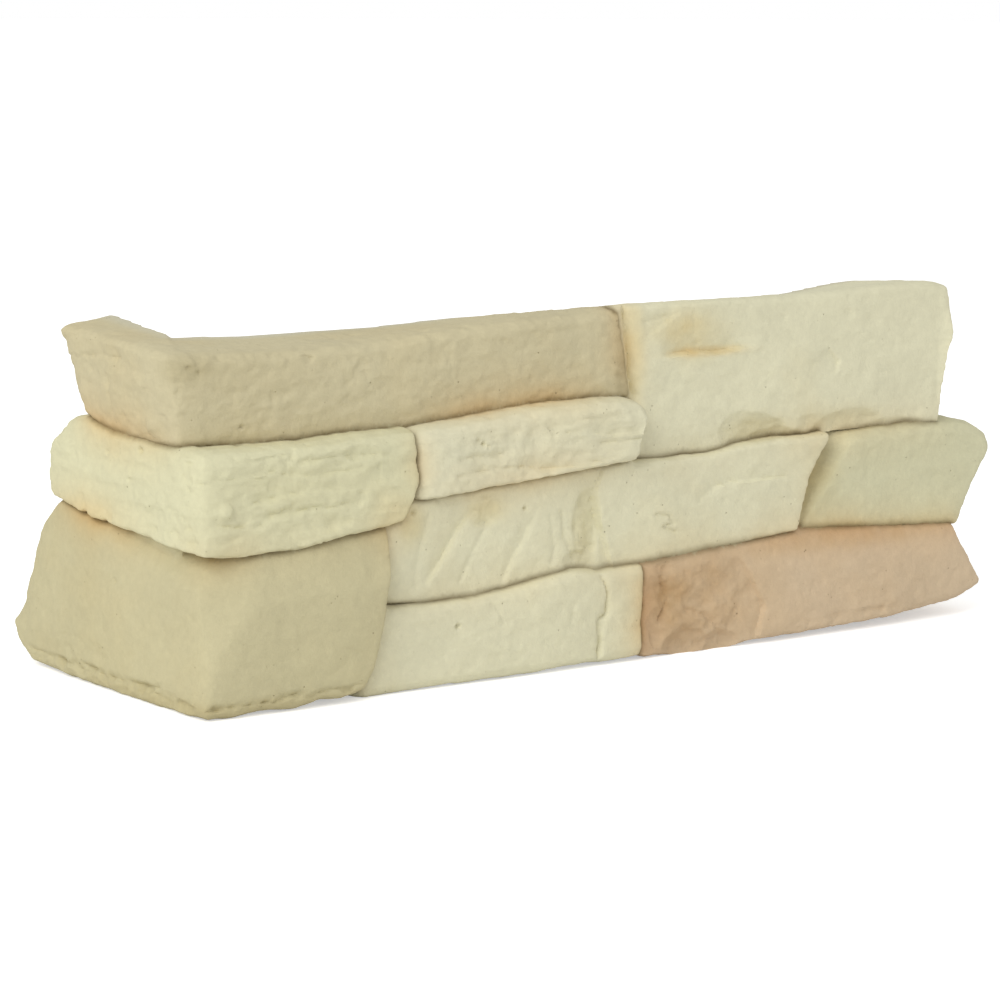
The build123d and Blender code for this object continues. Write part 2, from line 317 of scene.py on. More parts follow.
CREAM = Tint((0.690, 0.662, 0.470), grain=0.05, bedding=0.06)
PALE_CREAM = Tint((0.645, 0.622, 0.412), grain=0.09, bedding=0.55, chips=0.5, ragged=0.30)
LEDGE_CREAM = Tint((0.680, 0.655, 0.470), grain=0.09, bedding=0.50, chips=0.4, ragged=0.30)
NOSE_CREAM = Tint((0.618, 0.596, 0.398), grain=0.05, bedding=0.04)
BUFF = Tint((0.560, 0.502, 0.322), grain=0.13, bedding=0.16, chips=0.35, ragged=0.30)
BASE_BUFF = Tint((0.535, 0.486, 0.298), grain=0.05, bedding=0.04, wobble=0.35)
ROSE = Tint((0.600, 0.472, 0.318), grain=0.09, bedding=0.08, chips=0.3)


@dataclass(frozen=True)
class LegLines:
    """A stone on one leg: its lower and upper edge, and how far its face stands out at each, all by place."""

    low: Line
    high: Line
    out_low: Line
    out_high: Line
    fall: Line = field(default_factory=lambda: [(0.0, 0.0)])

    def places(self) -> list[float]:
        """Every place where one of the lines turns, inside the stone's length."""
        first, last = self.low[0][0], self.low[-1][0]
        found = {p for line in (self.low, self.high, self.out_low, self.out_high, self.fall) for p, _ in line}
        return sorted(p for p in found if first <= p <= last)


@dataclass
class CastStone:
    """One stone of the casting, made as a swept block and then worn.

    A stone on the long leg alone has no return lines. A stone round the corner is swept along the long leg, over the
    mitre at the arris, and back along the return.
    """

    name: str
    tint: Tint
    long: LegLines
    back: LegLines | None = None
    top: Edge = Edge(4.0, 6.0)
    foot: Edge = Edge(1.5, 2.0)
    left: Edge | None = None
    right: Edge | None = None
    end: Edge | None = None
    arris: float = 3.0
    soft: int = 4
    hews: list[Hew] = field(default_factory=list)
    marks: list = field(default_factory=list)

    def profile(self, lines: LegLines, place: float, eased: float) -> list[tuple[float, float]]:
        """The stone's section at a place, as out and height.

        Args:
            lines: The leg's lines.
            place: Where the section is.
            eased: How far the face is worn back there.

        Returns:
            The section's corners, from the wall's foot round to the wall's top.
        """
        low, high = along(lines.low, place), along(lines.high, place)
        out_low = max(along(lines.out_low, place) - eased, 3.0)
        out_high = max(along(lines.out_high, place) - eased, 3.0)
        share = min(1.0, (high - low) / (1.25 * (self.top.width + self.foot.width)))
        tw, td = self.top.width * share, self.top.depth * share
        fw, fd = self.foot.width * share, self.foot.depth * share
        return [
            (0.0, low),
            (out_low - fd, low),
            (out_low - 0.3 * fd, low + 0.3 * fw),
            (out_low, low + fw),
            (out_high, high - tw),
            (out_high - 0.3 * td, high - 0.3 * tw),
            (out_high - td, high),
            (0.0, high - along(lines.fall, place)),
        ]

    def stations(self, lines: LegLines, first: Edge | None, last: Edge | None) -> list[tuple[float, float]]:
        """The places of the sections, and how far the face is worn back at each end.

        Args:
            lines: The leg's lines.
            first: The worn edge at the first end, if any.
            last: The worn edge at the last end, if any.

        Returns:
            Places in rising order, each with its wear.
        """
        start, stop = lines.low[0][0], lines.low[-1][0]
        found = {place: 0.0 for place in lines.places()}
        for edge, origin, way in ((first, start, 1.0), (last, stop, -1.0)):
            if edge is None:
                continue
            for share in (0.0, 0.12, 0.4, 1.0):
                found.setdefault(origin + way * edge.width * share, 0.0)
            for place in list(found):
                near = abs(place - origin) / edge.width
                if near < 1.0:
                    found[place] += edge.depth * (1.0 - math.sqrt(1.0 - (1.0 - near) ** 2))
        return sorted(found.items())

    def sections(self) -> list[list[Vector]]:
        """The swept block's sections, from its right end to its left end or round to the return's end."""
        made = []
        for place, eased in reversed(self.stations(self.long, None if self.back else self.left, self.right)):
            points = self.profile(self.long, place, eased)
            made.append([Vector((place, -out, z)) for out, z in points])
        if self.back:
            arris_place = self.long.low[0][0]
            face = self.profile(self.long, arris_place, 0.0)
            flank = self.profile(self.back, self.back.low[0][0], 0.0)
            made.pop()
            made.append([Vector((-r[0], -p[0], 0.5 * (p[1] + r[1]))) for p, r in zip(face, flank)])
            for place, eased in self.stations(self.back, None, self.end)[1:]:
                made.append([Vector((-out, place, z)) for out, z in self.profile(self.back, place, eased)])
        return made

    def block(self) -> bpy.types.Mesh:
        """The stone before wear: one section, extruded from station to station.

        Returns:
            A closed mesh in metres, in the frame.
        """
        shift = Vector((WALL_X, WALL_Y, 0.0))
        sections = self.sections()
        bm = bmesh.new()
        face = bm.faces.new([bm.verts.new((p + shift) * MM) for p in sections[0]])
        for section in sections[1:]:
            before = {v.co.copy().freeze(): i for i, v in enumerate(face.verts)}
            grown = bmesh.ops.extrude_face_region(bm, geom=[face])
            face = next(item for item in grown["geom"] if isinstance(item, bmesh.types.BMFace))
            for vert in face.verts:
                vert.co = (section[before[vert.co.copy().freeze()]] + shift) * MM
        if self.back:
            self.blunt_arris(bm)
        bmesh.ops.recalc_face_normals(bm, faces=bm.faces[:])
        mesh = bpy.data.meshes.new(self.name)
        bm.to_mesh(mesh)
        bm.free()
        return mesh

    def blunt_arris(self, bm: bmesh.types.BMesh) -> None:
        """Round the upright edge where the two faces of a corner stone meet.

        Args:
            bm: The swept block.
        """
        middle = self.profile(self.long, self.long.low[0][0], 0.0)
        flank = self.profile(self.back, self.back.low[0][0], 0.0)
        shift = Vector((WALL_X, WALL_Y, 0.0))
        mitre = [(Vector((-r[0], -p[0], 0.5 * (p[1] + r[1]))) + shift) * MM for p, r in zip(middle, flank)]
        edges = [
            edge
            for edge in bm.edges
            if any((edge.verts[0].co - a).length + (edge.verts[1].co - b).length < 1e-6
                   or (edge.verts[1].co - a).length + (edge.verts[0].co - b).length < 1e-6
                   for a, b in zip(mitre[1:-1], mitre[2:-1]))
        ]
        bmesh.ops.bevel(
            bm,
            geom=edges,
            offset=self.arris * MM,
            affect="EDGES",
            segments=4,
            profile=0.5,
            material=-1,
            clamp_overlap=True,
        )

    def worn(self) -> bpy.types.Object:
        """The stone with its edges rounded and its marks in its face.

        Returns:
            A closed object in metres, in the frame, not yet linked to a body.
        """
        rough = bpy.data.objects.new(self.name + "_block", self.block())
        bpy.context.scene.collection.objects.link(rough)
        remesh = rough.modifiers.new("even", "REMESH")
        remesh.mode = "VOXEL"
        remesh.voxel_size = VOXEL * MM
        soften = rough.modifiers.new("soften", "SMOOTH")
        soften.factor = 0.5
        soften.iterations = self.soft
        mesh = settled(rough)
        self.carve(mesh)
        stone = bpy.data.objects.new(self.name, mesh)
        bpy.context.scene.collection.objects.link(stone)
        return stone

    def face_out(self, lines: LegLines, u: np.ndarray, z: np.ndarray) -> np.ndarray:
        """How far the stone's unworn face stands out.

        Args:
            lines: The leg's lines.
            u: Places along the leg.
            z: Heights.

        Returns:
            Distance from the wall's plane at each point.
        """
        low, high, out_low, out_high = (
            np.interp(u, *zip(*line)) for line in (lines.low, lines.high, lines.out_low, lines.out_high)
        )
        share = np.clip((z - low) / np.maximum(high - low, 1.0), 0.0, 1.0)
        return out_low + (out_high - out_low) * share

    def flakes(self, points: np.ndarray) -> np.ndarray:
        """Split-face bedding: flat flakes with small steps and thin creases along the course.

        Args:
            points: N by 3, in mm.

        Returns:
            Relief from about -1.5 to 1 at each point.
        """
        level = points.copy()
        level[:, 2] -= 0.045 * points[:, 0]
        wave = 3.2 * StoneNoise(71).layered(level, (30.0, 30.0, 4.6), 4)
        step = np.floor(wave)
        terrace = (step + smooth_step(0.25, 0.75, wave - step)) / 3.2
        line = StoneNoise(83).layered(level + 41.0, (38.0, 38.0, 4.4), 3)
        crease = np.exp(-((line / 0.045) ** 2)) * smooth_step(-0.2, 0.3, StoneNoise(89).at(level, (17.0, 17.0, 9.0)))
        return 1.3 * terrace - 0.55 * crease

    def carve(self, mesh: bpy.types.Mesh) -> None:
        """Cut the stone's own marks into its faces, then wear it: waves, bedding, grain and small chips.

        Args:
            mesh: The evened mesh, changed in place.
        """
        points, normals = mesh_points(mesh)
        spot = points - np.array((WALL_X, WALL_Y, 0.0))
        for hew in self.hews:
            spot = hew.strike(spot)
        for leg, lines, axis in ((Leg.LONG, self.long, 1), (Leg.RETURN, self.back, 0)):
            marks = [mark for mark in self.marks if mark.leg is leg]
            if not marks:
                continue
            u, z, out = spot[:, 1 - axis], spot[:, 2], -spot[:, axis]
            change = sum(mark.cut(u, z) for mark in marks)
            facing = smooth_step(0.25, 0.75, -normals[:, axis])
            kept = np.minimum(out, np.maximum(self.face_out(lines, u, z) + np.minimum(change, 0.0), 4.0))
            spot[:, axis] = -(kept + np.maximum(change, 0.0) * facing)
        points = spot + np.array((WALL_X, WALL_Y, 0.0))
        front = smooth_step(0.25, 0.75, np.maximum(-normals[:, 1], -normals[:, 0] if self.back else -1.0))
        out = np.maximum(-spot[:, 1], -spot[:, 0] if self.back else -1e9)
        free = smooth_step(2.0, 11.0, out)
        shift = np.zeros_like(points)
        for axis in range(3):
            wave = StoneNoise(11 + axis).layered(points, (34.0, 34.0, 26.0), 2)
            ripple = StoneNoise(31 + axis).layered(points, (8.0, 8.0, 6.0), 3)
            ragged = StoneNoise(61 + axis).layered(points, (3.6, 3.6, 3.0), 2)
            shift[:, axis] = 0.8 * wave + self.tint.wobble * ripple + self.tint.ragged * ragged
        shift[:, 2] *= 0.8
        relief = self.tint.grain * 1.7 * StoneNoise(53).layered(points, (2.0, 2.0, 1.6), 2)
        relief += self.tint.bedding * self.flakes(points) * front
        chips = StoneNoise(97).layered(points, (6.0, 6.0, 4.5), 3)
        relief -= smooth_step(0.38, 0.62, chips) * self.tint.chips
        moved = points + (shift + normals * relief[:, None]) * free[:, None]
        moved[:, 2] = np.maximum(moved[:, 2], 0.0)
        put_points(mesh, moved)


def mesh_points(mesh: bpy.types.Mesh) -> tuple[np.ndarray, np.ndarray]:
    """The points and normals of a mesh.

    Args:
        mesh: A mesh in metres.

    Returns:
        Points in mm, and unit normals, N by 3 each.
    """
    count = len(mesh.vertices)
    points = np.empty(count * 3)
    mesh.vertices.foreach_get("co", points)
    normals = np.empty(count * 3)
    mesh.vertices.foreach_get("normal", normals)
    return points.reshape(-1, 3) / MM, normals.reshape(-1, 3)


def put_points(mesh: bpy.types.Mesh, points: np.ndarray) -> None:
    """Write a mesh's points.

    Args:
        mesh: The mesh to change.
        points: N by 3, in mm.
    """
    mesh.vertices.foreach_set("co", (points * MM).ravel())
    mesh.update()


def settled(rough: bpy.types.Object) -> bpy.types.Mesh:
    """The mesh of an object with its modifiers applied; the object is removed.

    Args:
        rough: A linked object.

    Returns:
        A new mesh.
    """
    graph = bpy.context.evaluated_depsgraph_get()
    mesh = bpy.data.meshes.new_from_object(rough.evaluated_get(graph))
    old = rough.data
    bpy.data.objects.remove(rough)
    bpy.data.meshes.remove(old)
    return mesh


def stone_list() -> list[CastStone]:
    """The nine stones, in mm from the wall's corner line at the foot.

    Returns:
        The stones, the lowest course first.
    """
    base_corner = CastStone(
        "base_corner",
        BASE_BUFF,
        LegLines(
            low=[(-14.0, 0.8), (-4.0, 0.2), (6.0, 1.2), (16.0, 0.6), (26.0, 1.9), (33.0, 1.6), (41.0, 3.0), (44.0, 8.4),
                 (46.9, 18.9), (50.3, 40.6)],
            high=[(-14.0, 47.0), (22.0, 46.8), (33.0, 48.0), (50.3, 49.8)],
            out_low=[(-14.0, 42.2), (50.3, 41.4)],
            out_high=[(-14.0, 41.8), (50.3, 41.2)],
        ),
        LegLines(
            low=[(-42.8, 0.4), (-10.0, 0.0), (30.0, 0.0), (52.0, 0.8), (58.0, 4.5), (61.0, 9.0), (63.0, 12.0)],
            high=[(-42.8, 47.0), (-18.0, 47.5), (16.0, 50.5), (39.0, 51.0), (47.0, 43.5), (51.5, 36.0), (58.5, 18.0),
                  (63.0, 13.0)],
            out_low=[(-42.8, 14.0), (63.0, 14.0)],
            out_high=[(-42.8, 12.4), (63.0, 12.0)],
        ),
        top=Edge(2.0, 2.0),
        foot=Edge(4.0, 3.0),
        right=Edge(2.0, 3.0),
        end=Edge(3.0, 5.0),
        arris=5.0,
        soft=9,
        hews=[
            Hew((9.0, -41.5, 32.0), (0.0, -0.925, 0.38), 0.4),
            Hew((-9.0, -41.8, 21.0), (-0.30, -0.88, 0.36), 0.5),
            Hew((-13.0, -41.8, 7.0), (-0.62, -0.77, 0.16), 1.6),
            Hew((-12.2, -39.4, 30.0), (-0.70, -0.68, 0.22), 5.0),
            Hew((-12.8, 8.6, 42.5), (-0.8, -0.13, 0.58), 1.2),
        ],
        marks=[
            Groove([(16.0, 35.0), (34.0, 37.5), (46.0, 38.6)], 1.6, 0.35),
            Groove([(-12.0, 3.4), (-2.0, 4.2), (9.0, 3.8), (17.0, 5.2)], 0.9, 0.8),
            Groove([(20.0, 3.6), (30.0, 5.0), (42.0, 5.4)], 0.9, 0.8),
            Groove([(-40.0, 4.4), (-26.0, 3.4), (-14.0, 4.6)], 0.9, 0.9, Leg.RETURN),
            Groove([(-18.0, 6.4), (-6.0, 5.0), (10.0, 4.2), (22.0, 5.6)], 0.9, 0.9, Leg.RETURN),
            Groove([(18.0, 3.4), (34.0, 4.8), (52.0, 5.4)], 0.9, 0.9, Leg.RETURN),
            Rough((6.0, 2.0), (50.0, 4.6), 1.6, Leg.RETURN),
            Rough((14.0, 2.0), (36.0, 4.2), 1.4),
            Rough((-12.0, 9.0), (4.0, 8.0), 0.9),
            Rough((26.0, 9.0), (22.0, 5.0), 0.6, Leg.RETURN),
            Pit((6.0, 32.0), (1.2, 0.9), 0.7, Leg.RETURN),
            Pit((-16.0, 28.0), (0.9, 0.9), 0.6, Leg.RETURN),
            Pit((24.0, 24.0), (0.9, 0.8), 0.6, Leg.RETURN),
        ],
    )
    middle_base = CastStone(
        "middle_base",
        CREAM,
        LegLines(
            low=[(40.0, 0.2), (43.0, 0.0), (60.0, 0.0), (100.0, 0.5), (144.5, 1.0)],
            high=[(40.0, 6.0), (44.0, 12.0), (50.0, 25.5), (72.0, 25.0), (92.0, 26.2), (118.7, 29.8), (129.0, 28.6),
                  (144.5, 29.6)],
            out_low=[(40.0, 37.5), (100.0, 38.0), (144.5, 37.5)],
            out_high=[(40.0, 37.0), (100.0, 37.5), (144.5, 37.0)],
        ),
        top=Edge(2.6, 3.6),
        foot=Edge(3.0, 2.6),
        left=Edge(4.0, 5.0),
        right=Edge(1.4, 1.8),
        marks=[
            Groove([(127.6, 28.3), (130.5, 22.1), (131.0, 16.0), (128.0, 14.2), (127.7, 2.2)], 0.8, 1.3),
            Ledge([(127.8, 3.0), (130.8, 18.0), (127.6, 28.0)], 0.6, 8.0),
            Pit((75.4, 17.5), (0.9, 0.8), 1.5),
            Groove([(89.0, 22.0), (91.6, 17.0)], 0.8, 0.4),
            Groove([(118.0, 19.6), (116.8, 14.4)], 0.9, 0.4),
            Pit((104.0, 13.0), (14.0, 6.0), 0.4),
            Pit((60.0, 9.0), (12.0, 6.0), 0.4),
        ],
    )
    rose_end = CastStone(
        "rose_end",
        ROSE,
        LegLines(
            low=[(143.3, 1.2), (147.0, 0.4), (160.0, 0.0), (180.0, 0.0), (190.0, 1.4), (206.0, 1.4), (245.0, 2.4),
                 (277.0, 4.8), (284.0, 7.2), (288.4, 9.4)],
            high=[(143.3, 29.8), (188.8, 33.2), (209.0, 34.8), (245.0, 32.0), (276.0, 30.2), (288.4, 10.4)],
            out_low=[(143.3, 36.6), (200.0, 36.8), (288.4, 34.8)],
            out_high=[(143.3, 36.2), (200.0, 36.4), (288.4, 34.4)],
        ),
        top=Edge(2.0, 2.5),
        foot=Edge(2.0, 2.0),
        left=Edge(1.4, 2.2),
        right=Edge(2.0, 3.0),
        hews=[Hew((236.0, -35.8, 24.6), (0.02, -0.90, 0.43))],
        marks=[
            Ledge([(191.0, 2.0), (193.7, 11.6), (186.7, 23.5), (181.9, 31.0)], 1.7, 30.0),
            Rough((163.0, 15.0), (27.0, 19.0), 1.3),
            Scoop((156.0, 18.0), (4.5, 6.0), 1.4, -30.0),
            Scoop((162.0, 3.0), (9.0, 4.5), 2.6),
            Scoop((176.0, 1.0), (8.0, 5.0), 2.2),
            Scoop((150.5, 9.0), (4.0, 6.0), 1.2),
            Groove([(152.0, 24.0), (156.0, 17.0), (153.0, 11.0)], 1.0, 0.9),
            Groove([(162.0, 14.0), (170.0, 11.0), (178.0, 4.0)], 1.0, 0.8),
            Rough((240.0, 3.0), (50.0, 4.0), 0.8),
            Scoop((262.0, 19.0), (8.0, 5.0), 0.5),
        ],
    )
    middle_corner = CastStone(
        "middle_corner",
        PALE_CREAM,
        LegLines(
            low=[(-13.0, 45.0), (-5.0, 44.3), (21.7, 44.5), (32.7, 46.4), (51.2, 48.1), (56.0, 49.6), (59.5, 56.0),
                 (61.0, 62.0)],
            high=[(-13.0, 73.4), (25.0, 73.2), (52.0, 75.0), (61.0, 75.4)],
            out_low=[(-13.0, 39.0), (61.0, 36.6)],
            out_high=[(-13.0, 38.4), (61.0, 36.0)],
        ),
        LegLines(
            low=[(-39.0, 45.0), (-18.0, 45.6), (-7.0, 47.2), (16.0, 48.4), (31.0, 50.2), (41.0, 51.2), (44.5, 58.0)],
            high=[(-39.0, 73.4), (0.0, 75.0), (24.0, 77.6), (34.0, 75.5), (40.0, 70.5), (44.5, 63.0)],
            out_low=[(-39.0, 13.2), (44.5, 13.0)],
            out_high=[(-39.0, 13.0), (44.5, 12.5)],
        ),
        top=Edge(3.0, 5.0),
        foot=Edge(1.0, 1.4),
        right=Edge(1.6, 2.6),
        end=Edge(3.0, 5.0),
        arris=7.0,
        hews=[Hew((-12.2, -37.9, 59.0), (-0.71, -0.70, 0.0), 4.0)],
        marks=[
            Pit((-6.5, 70.6), (1.1, 0.9), 1.9, Leg.RETURN),
            Pit((10.4, 68.2), (0.8, 0.7), 1.0, Leg.RETURN),
            Pit((-2.4, 63.7), (1.4, 0.7), 0.6, Leg.RETURN),
            Pit((-24.0, 58.0), (7.0, 5.0), 0.4, Leg.RETURN),
            Pit((26.0, 60.0), (8.0, 6.0), 0.4, Leg.RETURN),
            Pit((-4.7, 57.2), (2.2, 1.9), -1.5),
            Groove([(-10.8, 54.8), (-4.0, 53.4), (1.6, 53.2)], 1.0, 1.1),
            Groove([(-8.9, 70.3), (4.3, 70.7), (17.8, 70.8)], 0.9, 0.6),
            Ledge([(-4.5, 65.6), (10.3, 66.4), (25.4, 64.0), (40.8, 64.7)], 0.9, 4.0),
            Ledge([(4.5, 58.7), (22.4, 60.4), (44.0, 60.0)], 0.9, 4.0),
            Groove([(10.5, 55.7), (25.5, 55.7), (40.9, 55.7)], 0.9, 0.7),
            Groove([(20.0, 68.6), (36.0, 69.4), (50.0, 68.8)], 0.9, 0.6),
            Scoop((42.0, 70.0), (7.0, 2.6), 0.9),
            Scoop((30.0, 51.0), (9.0, 2.6), 0.8, 6.0),
            Rough((26.0, 61.0), (34.0, 13.0), 0.4),
        ],
    )
    long_middle = CastStone(
        "long_middle",
        CREAM,
        LegLines(
            low=[(46.0, 25.4), (56.5, 25.4), (72.8, 23.4), (92.0, 24.8), (118.7, 28.5), (129.0, 26.9), (146.0, 27.8),
                 (188.8, 31.4), (208.4, 33.2), (209.4, 36.0), (213.0, 50.0), (221.0, 61.0)],
            high=[(46.0, 55.5), (60.0, 56.2), (89.0, 58.1), (139.0, 62.0), (142.0, 60.3), (171.5, 60.3), (184.7, 61.5),
                  (202.5, 63.0), (221.0, 63.2)],
            out_low=[(46.0, 34.0), (118.0, 34.0), (221.0, 33.8)],
            out_high=[(46.0, 34.2), (118.0, 34.2), (221.0, 34.0)],
        ),
        top=Edge(2.0, 2.4),
        foot=Edge(1.0, 1.4),
        left=Edge(8.0, 5.0),
        right=Edge(1.4, 1.8),
        marks=[
            Ledge([(67.3, 31.2), (70.2, 35.3), (74.2, 40.3), (77.7, 45.8), (81.8, 49.8)], 1.5, 5.0),
            Ledge([(94.3, 28.7), (98.5, 35.2), (102.6, 40.7), (106.1, 46.8)], 0.9, 5.0),
            Groove([(88.0, 46.0), (82.0, 38.0), (78.0, 30.0)], 1.1, 0.5),
            Groove([(111.1, 46.0), (113.2, 36.9), (111.4, 32.0)], 0.9, 0.5),
            Groove([(115.3, 46.6), (116.8, 39.5), (120.2, 31.6)], 0.9, 0.7),
            Groove([(66.0, 50.0), (63.0, 40.0), (62.0, 30.0)], 2.0, 0.6),
            Rough((86.5, 50.0), (7.0, 5.0), 1.1),
            Pit((101.8, 49.2), (0.7, 0.6), 1.2),
            Pit((60.6, 51.4), (0.9, 0.7), 1.2),
            Ledge([(133.9, 29.6), (132.2, 35.0), (128.9, 43.3), (127.1, 51.5), (129.6, 58.5)], 1.8, 9.0),
            Rough((124.5, 41.0), (5.0, 13.0), 1.2),
            Scoop((122.0, 31.0), (7.0, 4.0), 1.2),
            Ledge([(175.5, 50.0), (185.4, 51.1), (205.8, 50.5)], 1.2, 6.0),
            Ledge([(168.3, 45.7), (175.5, 50.0)], 0.7, 6.0),
            Groove([(151.0, 43.8), (155.4, 42.8), (157.0, 40.2), (153.6, 39.4), (158.4, 37.1)], 0.7, 0.8),
            Pit((192.0, 42.0), (16.0, 7.0), 0.4),
            Pit((146.0, 52.0), (10.0, 6.0), 0.3),
        ],
    )
    end_nose = CastStone(
        "end_nose",
        NOSE_CREAM,
        LegLines(
            low=[(208.8, 33.0), (245.0, 30.8), (279.0, 28.9), (283.0, 36.5), (288.6, 47.0), (293.6, 53.6)],
            high=[(208.8, 35.0), (213.5, 50.0), (221.5, 62.4), (243.0, 63.8), (257.6, 65.2), (268.0, 64.6), (280.0, 63.0),
                  (288.0, 61.4), (292.0, 58.8), (293.6, 55.4)],
            out_low=[(208.8, 31.8), (293.6, 31.4)],
            out_high=[(208.8, 31.8), (293.6, 31.4)],
        ),
        top=Edge(4.5, 7.0),
        foot=Edge(1.0, 1.4),
        right=Edge(3.0, 4.0),
        soft=6,
        hews=[Hew((224.0, -31.6, 48.7), (-0.55, -0.71, 0.43), 0.3)],
        marks=[
            Pit((262.0, 46.0), (20.0, 10.0), 0.8),
            Pit((279.0, 55.0), (10.0, 5.0), 0.5),
        ],
    )
    thin_ledge = CastStone(
        "thin_ledge",
        LEDGE_CREAM,
        LegLines(
            low=[(59.5, 54.6), (62.0, 54.8), (89.0, 56.9), (115.0, 59.0), (139.5, 60.9), (141.5, 66.0), (144.0, 74.5)],
            high=[(59.5, 74.0), (64.0, 75.6), (83.0, 77.0), (120.0, 79.4), (138.0, 79.0), (142.0, 78.0), (144.0, 76.0)],
            out_low=[(59.5, 37.4), (144.0, 37.8)],
            out_high=[(59.5, 36.6), (144.0, 37.0)],
        ),
        top=Edge(3.0, 5.0),
        foot=Edge(1.0, 1.5),
        left=Edge(9.0, 6.0),
        right=Edge(1.2, 1.8),
        marks=[
            Ledge([(69.9, 55.6), (73.8, 64.9), (76.6, 76.0)], -0.1, 6.0),
            Rough((98.0, 67.0), (24.0, 9.0), 0.8),
            Groove([(75.0, 65.7), (84.5, 66.4), (91.7, 66.9)], 0.9, 0.8),
            Groove([(73.9, 60.9), (89.4, 62.3), (99.1, 61.9)], 0.8, 0.7),
            Ledge([(99.5, 61.8), (106.5, 60.4), (123.7, 61.0), (131.2, 62.0)], 1.4, 5.0),
            Ledge([(123.3, 70.1), (130.9, 69.0), (142.3, 68.8)], 1.1, 4.0),
            Groove([(126.1, 67.0), (142.4, 67.3)], 0.7, 0.6),
            Groove([(108.0, 72.5), (120.0, 74.6), (136.0, 74.4)], 0.9, 0.5),
            Pit((83.8, 69.9), (0.9, 0.7), 1.2),
            Pit((82.0, 70.9), (0.8, 0.7), 0.9),
            Pit((85.6, 68.9), (0.7, 0.6), 0.9),
        ],
    )
    cap_corner = CastStone(
        "cap_corner",
        BUFF,
        LegLines(
            low=[(-13.0, 72.6), (-7.0, 71.9), (25.0, 71.6), (65.0, 73.6), (90.0, 74.6), (128.0, 77.2), (142.6, 78.2)],
            high=[(-13.0, 100.4), (0.0, 99.4), (24.0, 98.6), (40.0, 99.4), (54.6, 100.4), (96.0, 103.6), (138.4, 105.0),
                  (142.6, 80.5)],
            out_low=[(-13.0, 25.6), (142.6, 29.8)],
            out_high=[(-13.0, 25.4), (142.6, 29.2)],
            fall=[(-13.0, -1.4), (20.0, -1.5), (45.0, -0.5), (70.0, 1.3), (138.0, 3.4)],
        ),
        LegLines(
            low=[(-25.5, 72.6), (9.0, 73.6), (24.0, 76.8), (28.0, 84.0), (31.0, 93.0), (33.6, 100.0)],
            high=[(-25.5, 100.4), (0.0, 101.2), (22.0, 102.6), (31.0, 102.6), (33.6, 101.8)],
            out_low=[(-25.5, 12.0), (33.6, 12.0)],
            out_high=[(-25.5, 16.8), (33.6, 16.8)],
            fall=[(-25.5, -1.0), (0.0, -0.8), (12.0, -0.8), (22.0, -1.4), (29.0, -1.9), (33.6, -0.4)],
        ),
        top=Edge(2.6, 6.0),
        foot=Edge(1.0, 1.4),
        right=Edge(1.2, 1.6),
        end=Edge(2.0, 3.0),
        arris=6.0,
        hews=[Hew((-13.7, -24.8, 86.5), (-0.70, -0.70, -0.116), 4.0)],
        marks=[
            Rough((-9.0, 95.5), (8.0, 4.0), 0.7),
            Pit((-9.0, 95.5), (1.4, 1.0), 0.9),
            Pit((-6.0, 94.4), (0.9, 0.8), 0.9),
            Pit((-12.0, 96.8), (1.0, 0.8), 0.8),
            Pit((7.7, 77.9), (0.9, 0.7), 1.1),
            Groove([(8.8, 98.0), (21.0, 97.4), (31.6, 96.4)], 0.9, 0.9),
            Groove([(-15.8, 74.6), (-6.0, 74.8)], 1.8, 1.0, Leg.RETURN),
            Pit((-13.2, 78.2), (2.8, 2.4), -1.1, Leg.RETURN),
            Groove([(8.4, 90.0), (7.8, 80.0)], 1.0, 0.5, Leg.RETURN),
            Groove([(20.8, 94.7), (10.0, 95.8), (-1.0, 95.7)], 1.0, 0.6, Leg.RETURN),
            Rough((10.0, 86.0), (20.0, 14.0), 0.35, Leg.RETURN),
            Scoop((2.0, 97.0), (4.0, 3.0), 0.7, 0.0, Leg.RETURN),
        ],
    )
    top_end = CastStone(
        "top_end",
        CREAM,
        LegLines(
            low=[(137.6, 59.0), (171.5, 59.2), (184.7, 60.4), (202.5, 61.9), (219.0, 62.1), (270.2, 62.6), (271.8, 72.0),
                 (274.2, 85.0), (276.2, 93.0)],
            high=[(137.6, 105.2), (160.0, 105.6), (193.6, 105.6), (225.0, 106.0), (246.8, 107.2), (258.0, 107.4),
                  (269.0, 106.8), (275.6, 105.6), (276.1, 100.0), (276.2, 94.5)],
            out_low=[(137.6, 30.4), (276.2, 30.2)],
            out_high=[(137.6, 27.4), (276.2, 26.6)],
            fall=[(137.6, 3.4), (225.0, 3.4), (255.0, 1.5)],
        ),
        top=Edge(2.0, 2.8),
        foot=Edge(1.0, 1.4),
        right=Edge(1.6, 2.2),
        marks=[
            Groove([(142.6, 106.0), (143.6, 92.0), (145.0, 79.0)], 2.4, 2.6),
            Ledge([(160.0, 89.4), (170.0, 89.9), (180.0, 89.5), (190.0, 90.6)], 2.4, 9.0),
            Groove([(150.0, 100.0), (158.0, 101.5)], 1.0, 0.6),
            Groove([(168.7, 101.4), (169.9, 94.7), (173.7, 90.3)], 1.6, 0.4),
            Ledge([(152.0, 96.0), (162.0, 102.0)], 0.8, 5.0),
            Ledge([(227.0, 82.0), (228.0, 84.6), (223.8, 88.4)], 0.9, 7.0),
            Pit((160.0, 79.0), (12.0, 7.0), 0.5),
            Pit((240.0, 92.0), (18.0, 9.0), 0.4),
            Pit((232.0, 99.0), (2.2, 1.8), 0.5),
            Scoop((194.0, 62.0), (16.0, 8.8), 2.2, -14.0),
            Scoop((205.0, 60.0), (14.0, 6.0), 1.6, -6.0),
            Scoop((231.0, 61.0), (17.0, 8.6), 2.2, 4.0),
            Scoop((252.0, 60.0), (18.0, 5.4), 1.5),
            Rough((212.0, 64.0), (40.0, 5.0), 0.5),
        ],
    )
